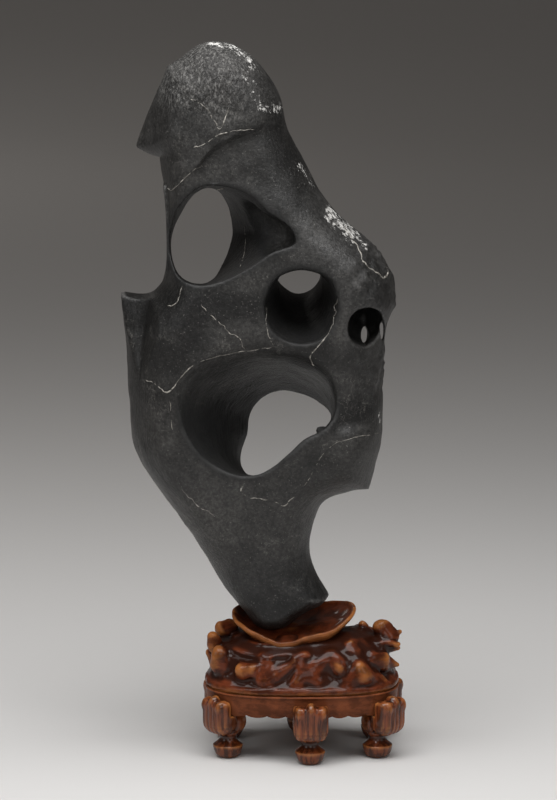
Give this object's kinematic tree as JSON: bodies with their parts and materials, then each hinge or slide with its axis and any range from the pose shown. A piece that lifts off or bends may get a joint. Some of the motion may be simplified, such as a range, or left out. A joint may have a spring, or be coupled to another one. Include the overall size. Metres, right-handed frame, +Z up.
{
  "type": "scholars rock on stand",
  "caption": "Tall dark pierced stone with smooth worn holes, standing upright in the dished seat of a low carved wood stand with short legs.",
  "frame": {"origin": "on the floor, under the middle of the whole object's bounding box; the stand's centre lies 29.3 mm to its right", "axes": "+Z up, -Y towards the front, +X to the right as seen from the front"},
  "size_m": [0.21, 0.125, 0.5362],
  "materials": {
    "stone": "dark, worn smooth, satin",
    "mound_wood": "polished, stained reddish brown",
    "apron_wood": "polished, stained reddish brown",
    "leg_wood": "polished, stained reddish brown"
  },
  "bodies": {
    "root": {"rock": "stone", "mound": "mound_wood", "apron": "apron_wood", "leg_front_left": "leg_wood", "leg_front_centre": "leg_wood", "leg_front_right": "leg_wood", "leg_back_left": "leg_wood", "leg_back_centre": "leg_wood", "leg_back_right": "leg_wood"}
  },
  "joints": []
}
